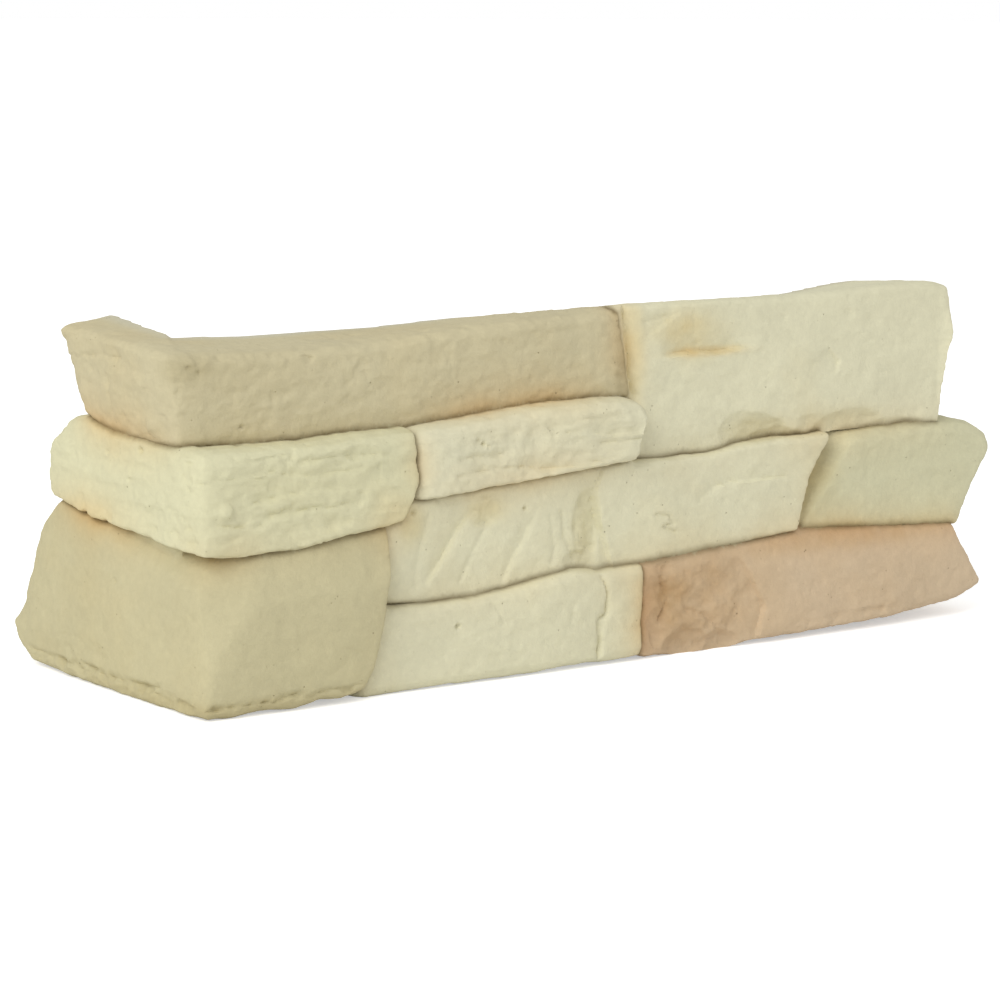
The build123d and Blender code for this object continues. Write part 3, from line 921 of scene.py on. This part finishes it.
    return [
        base_corner, middle_base, rose_end, middle_corner, long_middle, end_nose, thin_ledge, cap_corner, top_end,
    ]


@dataclass(frozen=True)
class WashAndShadeSpot:
    """A place where the brown wash along the joints, partly the casting's own colour and partly painted shade in the
    crevices, lies heavier: its middle, in mm from the wall's corner line.
    """

    middle: tuple[float, float, float]
    reach: float
    strength: float


@dataclass(frozen=True)
class StainAndShade:
    """A place where the colour is made darker or browner: its middle, its half sizes and its shade. Two of them are
    painted shade, marked below.
    """

    middle: tuple[float, float, float]
    reach: tuple[float, float, float]
    shade: tuple[float, float, float]

    def share(self, spot: np.ndarray) -> np.ndarray:
        """How much of the darkening lies at each point, from 0 to 1."""
        away = (spot - np.array(self.middle)) / np.array(self.reach)
        return np.exp(-np.sum(away * away, axis=1) ** 1.5)


# spots where the brown wash along the joints, partly painted shade in the crevices, lies heavier
WASH_AND_SHADE_SPOTS = (
    WashAndShadeSpot((-12.0, 10.0, 76.0), 26.0, 1.0),
    WashAndShadeSpot((-12.0, 16.0, 49.0), 26.0, 1.0),
    WashAndShadeSpot((-8.0, -36.0, 46.0), 14.0, 0.8),
    WashAndShadeSpot((100.0, -33.0, 78.0), 32.0, 1.0),
    WashAndShadeSpot((62.0, -36.0, 66.0), 10.0, 0.6),
    WashAndShadeSpot((146.0, -30.0, 96.0), 16.0, 0.7),
    WashAndShadeSpot((142.0, -38.0, 15.0), 14.0, 0.9),
    WashAndShadeSpot((230.0, -34.0, 33.0), 40.0, 0.8),
    WashAndShadeSpot((52.0, -36.0, 48.0), 12.0, 0.6),
    WashAndShadeSpot((270.0, -32.0, 31.0), 22.0, 0.6),
)

STAINS_AND_SHADE = (
    StainAndShade((163.0, -36.0, 15.0), (25.0, 12.0, 18.0), (0.90, 0.83, 0.74)),
    StainAndShade((156.0, -36.0, 18.0), (6.0, 8.0, 7.0), (0.86, 0.80, 0.70)),
    StainAndShade((230.0, -33.0, 30.0), (50.0, 8.0, 4.0), (0.93, 0.88, 0.80)),
    # painted shade: an orange-brown line along the small step in the top end's face
    StainAndShade((174.0, -28.0, 90.4), (15.0, 6.0, 1.5), (0.98, 0.85, 0.68)),
    StainAndShade((160.0, -28.0, 98.0), (9.0, 6.0, 5.0), (0.98, 0.93, 0.84)),
    StainAndShade((170.0, -27.0, 96.0), (12.0, 6.0, 7.0), (0.98, 0.92, 0.82)),
    StainAndShade((145.0, -28.0, 92.0), (4.5, 8.0, 16.0), (1.0, 0.93, 0.80)),
    # painted shade: the end nose's recess beside the proud stone on its left, made darker and browner
    StainAndShade((218.0, -27.0, 50.0), (9.0, 9.0, 13.0), (0.96, 0.92, 0.84)),
    StainAndShade((124.0, -33.0, 41.0), (5.0, 6.0, 11.0), (0.95, 0.92, 0.85)),
    StainAndShade((87.0, -34.0, 50.0), (7.0, 6.0, 4.0), (0.95, 0.90, 0.80)),
    StainAndShade((60.0, -33.0, 48.0), (5.0, 6.0, 7.0), (0.95, 0.91, 0.82)),
    StainAndShade((194.0, -29.0, 66.0), (12.0, 6.0, 4.5), (0.95, 0.92, 0.86)),
    StainAndShade((232.0, -29.0, 66.0), (14.0, 6.0, 4.5), (0.95, 0.92, 0.86)),
    StainAndShade((-9.0, -25.0, 95.0), (9.0, 6.0, 4.5), (0.88, 0.87, 0.84)),
    StainAndShade((10.0, -26.0, 93.0), (24.0, 6.0, 9.0), (0.95, 0.94, 0.92)),
    StainAndShade((-10.0, -42.0, 2.0), (60.0, 60.0, 3.0), (0.93, 0.90, 0.84)),
    StainAndShade((20.0, -38.0, 62.0), (30.0, 8.0, 7.0), (0.97, 0.96, 0.94)),
)


@dataclass(frozen=True)
class CastFinish:
    """The matt face of the casting: stone colour from the tint attribute, grain, air holes darkened with painted shade,
    and a brown wash and painted shade along the joints.
    """

    wash_and_shade: tuple[float, float, float, float] = (0.560, 0.330, 0.120, 1.0)
    # painted shade: the near-black brown laid in a thin line along each joint where two stones meet
    joint_shade: tuple[float, float, float, float] = (0.150, 0.110, 0.045, 1.0)
    roughness: float = 0.88
    specular: float = 0.25

    def build(self) -> bpy.types.Material:
        """Make the material.

        Returns:
            A node material that reads Object coordinates and the piece's own attributes.
        """
        material = bpy.data.materials.new("cast_stone_face")
        material.use_nodes = True
        nodes, links = material.node_tree.nodes, material.node_tree.links
        shader = nodes["Principled BSDF"]
        shader.inputs["Roughness"].default_value = self.roughness
        shader.inputs["Specular IOR Level"].default_value = self.specular
        place = nodes.new("ShaderNodeTexCoord").outputs["Object"]

        def noise(scale: float, detail: float, rough: float = 0.55) -> bpy.types.NodeSocket:
            """A noise texture's factor at a scale in waves per metre."""
            node = nodes.new("ShaderNodeTexNoise")
            node.inputs["Scale"].default_value = scale
            node.inputs["Detail"].default_value = detail
            node.inputs["Roughness"].default_value = rough
            links.new(place, node.inputs["Vector"])
            return node.outputs["Fac"]

        def spread(value: bpy.types.NodeSocket, limits: tuple[float, float, float, float]) -> bpy.types.NodeSocket:
            """A value mapped from one range to another, and held inside it."""
            node = nodes.new("ShaderNodeMapRange")
            links.new(value, node.inputs["Value"])
            for name, number in zip(("From Min", "From Max", "To Min", "To Max"), limits):
                node.inputs[name].default_value = number
            return node.outputs["Result"]

        def mixed(kind: str, share, first, second) -> bpy.types.NodeSocket:
            """Two colours mixed by a share; each may be a socket or a plain value."""
            node = nodes.new("ShaderNodeMix")
            node.data_type = "RGBA"
            node.blend_type = kind
            for index, value in ((0, share), (6, first), (7, second)):
                if isinstance(value, bpy.types.NodeSocket):
                    links.new(value, node.inputs[index])
                else:
                    node.inputs[index].default_value = value
            return node.outputs[2]

        tint = nodes.new("ShaderNodeAttribute")
        tint.attribute_name = "tint"
        # reads the brown wash and the painted shade along the joints
        wash_and_joint_shade = nodes.new("ShaderNodeAttribute")
        wash_and_joint_shade.attribute_name = "wash_and_joint_shade"
        split = nodes.new("ShaderNodeSeparateColor")
        links.new(wash_and_joint_shade.outputs["Color"], split.inputs["Color"])
        wash_and_shade_share, joint_shade_share = split.outputs["Red"], split.outputs["Green"]

        cloud = spread(noise(38.0, 4.0), (0.32, 0.68, 0.97, 1.03))
        color = mixed("MULTIPLY", 1.0, tint.outputs["Color"], cloud)
        fine = spread(noise(420.0, 5.0, 0.7), (0.30, 0.70, 0.955, 1.04))
        color = mixed("MULTIPLY", 1.0, color, fine)
        warm = spread(noise(24.0, 3.0), (0.52, 0.72, 0.0, 0.30))
        color = mixed("MIX", warm, color, mixed("MULTIPLY", 1.0, color, (1.03, 0.95, 0.82, 1.0)))
        # brown wash near the joints: partly the casting's own colour, partly painted shade in the crevices
        color = mixed("MIX", wash_and_shade_share, color, mixed("MULTIPLY", 1.0, color, (1.0, 0.77, 0.56, 1.0)))
        # painted shade along the joints
        color = mixed("MIX", joint_shade_share, color, self.joint_shade)
        # tiny air holes: dented by the bump below, and darkened as painted shade inside them
        hole_cells = nodes.new("ShaderNodeTexVoronoi")
        hole_cells.inputs["Scale"].default_value = 520.0
        links.new(place, hole_cells.inputs["Vector"])
        dots = spread(hole_cells.outputs["Distance"], (0.06, 0.16, 1.0, 0.0))
        rare = spread(noise(190.0, 2.0), (0.60, 0.70, 0.0, 0.75))
        air_holes = nodes.new("ShaderNodeMath")
        air_holes.operation = "MULTIPLY"
        links.new(dots, air_holes.inputs[0])
        links.new(rare, air_holes.inputs[1])
        # painted shade: the air holes darkened
        color = mixed("MIX", air_holes.outputs["Value"], color, mixed("MULTIPLY", 1.0, color, (0.42, 0.38, 0.30, 1.0)))
        links.new(color, shader.inputs["Base Color"])

        bump = nodes.new("ShaderNodeBump")
        bump.inputs["Strength"].default_value = 0.35
        bump.inputs["Distance"].default_value = 0.0006
        links.new(noise(900.0, 6.0, 0.65), bump.inputs["Height"])
        holes = nodes.new("ShaderNodeBump")
        holes.invert = True
        holes.inputs["Strength"].default_value = 0.6
        holes.inputs["Distance"].default_value = 0.0006
        links.new(air_holes.outputs["Value"], holes.inputs["Height"])
        links.new(bump.outputs["Normal"], holes.inputs["Normal"])
        links.new(holes.outputs["Normal"], shader.inputs["Normal"])
        return material


@dataclass
class CastCorner:
    """The whole casting: the stones joined with a core behind them, thinned, coloured and dressed."""

    stones: list[CastStone] = field(default_factory=stone_list)
    finish: CastFinish = CastFinish()
    heel: float = 8.0
    core_out: float = 21.0
    back_color: tuple[float, float, float] = (0.56, 0.53, 0.39)

    def core(self) -> bpy.types.Object:
        """The mass behind the stones, flat at the wall, with a rounded inside corner.

        Returns:
            A closed object in the frame.
        """
        bm = bmesh.new()
        shift = Vector((WALL_X, WALL_Y, 0.0))
        for foot, top, arm in ((1.0, 40.5, 46.0), (40.0, 74.0, 33.0), (73.5, 97.5, 22.0)):
            plan = ((-9.0, -self.core_out), (266.0, -self.core_out), (266.0, 0.0), (0.0, 0.0), (0.0, arm), (-9.0, arm))
            corners = [bm.verts.new((Vector((x, y, foot)) + shift) * MM) for x, y in plan]
            grown = bmesh.ops.extrude_face_region(bm, geom=[bm.faces.new(corners)])["geom"]
            raised = [item for item in grown if isinstance(item, bmesh.types.BMVert)]
            bmesh.ops.translate(bm, verts=raised, vec=(0.0, 0.0, (top - foot) * MM))
            inner = [edge for edge in corners[3].link_edges if edge.other_vert(corners[3]) in raised]
            bmesh.ops.bevel(
                bm,
                geom=inner,
                offset=self.heel * MM,
                affect="EDGES",
                segments=8,
                profile=0.5,
                material=-1,
            )
        bmesh.ops.recalc_face_normals(bm, faces=bm.faces[:])
        mesh = bpy.data.meshes.new("core")
        bm.to_mesh(mesh)
        bm.free()
        rough = bpy.data.objects.new("core_block", mesh)
        bpy.context.scene.collection.objects.link(rough)
        remesh = rough.modifiers.new("even", "REMESH")
        remesh.mode = "VOXEL"
        remesh.voxel_size = 1.5 * MM
        core = bpy.data.objects.new("core", settled(rough))
        bpy.context.scene.collection.objects.link(core)
        return core

    def build(self) -> bpy.types.Object:
        """Make the casting as one closed piece.

        Returns:
            The dressed piece, riding on the part's one body.
        """
        worn = [stone.worn() for stone in self.stones]
        for stone in worn:
            LOG.info("stone %s: %d faces", stone.name, len(stone.data.polygons))
        trees = [tree_of(stone.data) for stone in worn]
        whole = self.core()
        for stone in worn:
            join = whole.modifiers.new(stone.name, "BOOLEAN")
            join.operation = "UNION"
            join.solver = "MANIFOLD"
            join.object = stone
        mesh = settled(whole)
        for stone in worn:
            bpy.data.objects.remove(stone)
        self.flatten_back(mesh)
        triangles = sum(len(p.vertices) - 2 for p in mesh.polygons)
        LOG.info("joined: %d triangles", triangles)
        piece = bpy.data.objects.new("cast_corner", mesh)
        bpy.context.scene.collection.objects.link(piece)
        thin = piece.modifiers.new("thin", "DECIMATE")
        thin.ratio = min(1.0, MOST_TRIANGLES / triangles)
        mesh = settled(piece)
        mesh.name = "cast_corner"
        piece = bpy.data.objects.new("cast_corner", mesh)
        bpy.context.scene.collection.objects.link(piece)
        self.paint(mesh, trees)
        mesh.shade_smooth()
        mesh.set_sharp_from_angle(angle=math.radians(48.0))
        mesh.materials.clear()
        mesh.materials.append(self.finish.build())
        mesh.polygons.foreach_set("material_index", [0] * len(mesh.polygons))
        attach(piece, "root")
        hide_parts("stone_corner")
        return piece

    def flatten_back(self, mesh: bpy.types.Mesh) -> None:
        """Lay the two backs flat on the wall's planes.

        Args:
            mesh: The joined casting.
        """
        points, _ = mesh_points(mesh)
        spot = points - np.array((WALL_X, WALL_Y, 0.0))
        spot[(np.abs(spot[:, 1]) < 0.6) & (spot[:, 0] > self.heel), 1] = 0.0
        spot[(np.abs(spot[:, 0]) < 0.6) & (spot[:, 1] > self.heel), 0] = 0.0
        put_points(mesh, spot + np.array((WALL_X, WALL_Y, 0.0)))

    def paint(self, mesh: bpy.types.Mesh, trees: list[BVHTree]) -> None:
        """Write the stone colours, and the brown wash and painted shade along the joints, to the piece's own
        attributes.

        Args:
            mesh: The casting.
            trees: The stones' surfaces, in order.
        """
        points, _ = mesh_points(mesh)
        reach = 14.0 * MM
        distance = np.full((len(trees), len(points)), reach)
        for row, tree in enumerate(trees):
            for index, point in enumerate(points):
                found = tree.find_nearest(Vector(point) * MM, reach)[3]
                if found is not None:
                    distance[row, index] = found
        distance /= MM
        order = np.sort(distance, axis=0)
        owner = np.argmin(distance, axis=0)
        color = np.array([stone.tint.color for stone in self.stones])[owner]
        neighbour = order[1]
        spot = points - np.array((WALL_X, WALL_Y, 0.0))
        patches = 0.5 + 0.5 * StoneNoise(131).layered(points, (13.0, 13.0, 9.0), 3)
        flecks = 0.5 + 0.5 * StoneNoise(151).layered(points, (6.0, 6.0, 5.0), 4)
        # darker or browner patches: stains, and at two places painted shade
        for stain_and_shade in STAINS_AND_SHADE:
            share = stain_and_shade.share(spot) * np.clip(0.45 + 1.1 * flecks, 0.0, 1.3)
            color = color * (1.0 + share[:, None] * (np.array(stain_and_shade.shade) - 1.0))
        heavy = np.full(len(points), 0.16)
        for wash_and_shade in WASH_AND_SHADE_SPOTS:
            away = np.linalg.norm(spot - np.array(wash_and_shade.middle), axis=1) / wash_and_shade.reach
            heavy = np.maximum(heavy, wash_and_shade.strength * np.exp(-(away**2)))
        # brown wash within a few mm of the next stone, partly painted shade in the crevices
        wash_and_shade = heavy * np.exp(-neighbour / 5.0) * (0.55 + 0.9 * patches)
        # painted shade: a thin dark line along each joint, within about a millimetre of the next stone
        joint_shade = np.exp(-((neighbour / 1.1) ** 2)) * (0.35 + 0.6 * patches)
        front = np.maximum(-spot[:, 1], -spot[:, 0])
        shown = smooth_step(4.0, 12.0, front)
        face = smooth_step(1.0, 7.0, front)[:, None]
        color = np.array(self.back_color) * (1.0 - face) + color * face
        # the brown wash and the painted shade along the joints, kept to the front faces
        wash_and_joint_shade = np.stack([np.clip(wash_and_shade, 0, 1) * shown, np.clip(joint_shade, 0, 1) * shown, patches], axis=1)
        for name, values in (("tint", color), ("wash_and_joint_shade", wash_and_joint_shade)):
            layer = mesh.attributes.new(name, "FLOAT_COLOR", "POINT")
            rgba = np.concatenate([values, np.ones((len(values), 1))], axis=1)
            layer.data.foreach_set("color", rgba.astype(np.float32).ravel())


def tree_of(mesh: bpy.types.Mesh) -> BVHTree:
    """A search tree of a mesh's surface.

    Args:
        mesh: A mesh in metres.

    Returns:
        The tree.
    """
    bm = bmesh.new()
    bm.from_mesh(mesh)
    tree = BVHTree.FromBMesh(bm)
    bm.free()
    return tree


@dataclass(frozen=True)
class Studio:
    """The pale floor, soft lights and the camera at the photograph's place."""

    azimuth: float = -37.5
    elevation: float = 9.0
    roll: float = 1.2
    distance: float = 1.085
    aim: tuple[float, float, float] = (-0.01975, -0.0105, 0.0456)
    lens: float = 130.0
    floor_lift: float = 0.45
    sky_light: float = 0.62

    def build(self) -> None:
        """Make the floor, lights, world and camera."""
        self.floor()
        self.light("key", (-1.7, -0.8, 1.3), 1.3, 26.0)
        self.light("fill", (1.3, -1.8, 0.9), 1.8, 5.0)
        self.sky()
        self.camera()

    def floor(self) -> None:
        """A wide pale floor under the casting's foot."""
        bm = bmesh.new()
        bmesh.ops.create_grid(bm, x_segments=1, y_segments=1, size=6.0)
        mesh = bpy.data.meshes.new("floor")
        bm.to_mesh(mesh)
        bm.free()
        floor = bpy.data.objects.new("floor", mesh)
        bpy.context.scene.collection.objects.link(floor)
        material = bpy.data.materials.new("pale_floor")
        material.use_nodes = True
        shader = material.node_tree.nodes["Principled BSDF"]
        shader.inputs["Base Color"].default_value = (0.93, 0.93, 0.93, 1.0)
        shader.inputs["Roughness"].default_value = 0.9
        shader.inputs["Emission Color"].default_value = (1.0, 1.0, 1.0, 1.0)
        nodes, links = material.node_tree.nodes, material.node_tree.links
        links.new(self.seen(nodes, links, 0.0, self.floor_lift), shader.inputs["Emission Strength"])
        mesh.materials.append(material)

    def light(self, name: str, place: tuple[float, float, float], size: float, power: float) -> None:
        """A square soft light aimed at the casting.

        Args:
            name: The light's name.
            place: Where it stands, in metres.
            size: Its side, in metres.
            power: Its power, in watts.
        """
        lamp = bpy.data.lights.new(name, "AREA")
        lamp.shape = "SQUARE"
        lamp.size = size
        lamp.energy = power
        light = bpy.data.objects.new(name, lamp)
        light.location = place
        light.rotation_euler = (Vector(self.aim) - Vector(place)).to_track_quat("-Z", "Y").to_euler()
        bpy.context.scene.collection.objects.link(light)

    def sky(self) -> None:
        """An even world, white to the camera and softer as a light."""
        world = bpy.data.worlds.new("studio")
        world.use_nodes = True
        nodes, links = world.node_tree.nodes, world.node_tree.links
        shade = nodes["Background"]
        shade.inputs["Color"].default_value = (1.0, 1.0, 1.0, 1.0)
        links.new(self.seen(nodes, links, self.sky_light, 1.0), shade.inputs["Strength"])
        bpy.context.scene.world = world

    def seen(
        self, nodes: bpy.types.Nodes, links: bpy.types.NodeLinks, unseen: float, seen: float
    ) -> bpy.types.NodeSocket:
        """A strength that differs between what lights the casting and what is seen directly or mirrored.

        Args:
            nodes: The tree's nodes.
            links: The tree's links.
            unseen: The strength as a light.
            seen: The strength to the camera, in gloss and through glass.

        Returns:
            The socket that holds it.
        """
        paths = nodes.new("ShaderNodeLightPath")
        either = paths.outputs["Is Camera Ray"]
        for name in ("Is Glossy Ray", "Is Transmission Ray"):
            larger = nodes.new("ShaderNodeMath")
            larger.operation = "MAXIMUM"
            links.new(either, larger.inputs[0])
            links.new(paths.outputs[name], larger.inputs[1])
            either = larger.outputs["Value"]
        level = nodes.new("ShaderNodeMapRange")
        level.inputs["To Min"].default_value = unseen
        level.inputs["To Max"].default_value = seen
        links.new(either, level.inputs["Value"])
        return level.outputs["Result"]

    def camera(self) -> None:
        """The camera at the photograph's view."""
        a, e, r = (math.radians(v) for v in (self.azimuth, self.elevation, self.roll))
        back = Vector((math.sin(a) * math.cos(e), -math.cos(a) * math.cos(e), math.sin(e)))
        right = (-back).cross(Vector((0.0, 0.0, 1.0))).normalized()
        up = right.cross(-back)
        turned = right * math.cos(r) + up * math.sin(r)
        upright = -right * math.sin(r) + up * math.cos(r)
        data = bpy.data.cameras.new("photo_view")
        data.lens = self.lens
        data.sensor_width = 36.0
        data.clip_start = 0.01
        camera = bpy.data.objects.new("photo_view", data)
        matrix = Matrix((turned, upright, back)).transposed().to_4x4()
        matrix.translation = Vector(self.aim) + back * self.distance
        camera.matrix_world = matrix
        bpy.context.scene.collection.objects.link(camera)
        bpy.context.scene.camera = camera


def main() -> None:
    """Build the casting and its studio."""
    logging.basicConfig(level=logging.INFO)
    bpy.context.scene.view_settings.view_transform = "Standard"
    piece = CastCorner().build()
    LOG.info("piece %s: %d faces", piece.name, len(piece.data.polygons))
    Studio().build()


if __name__ == "__main__":
    main()
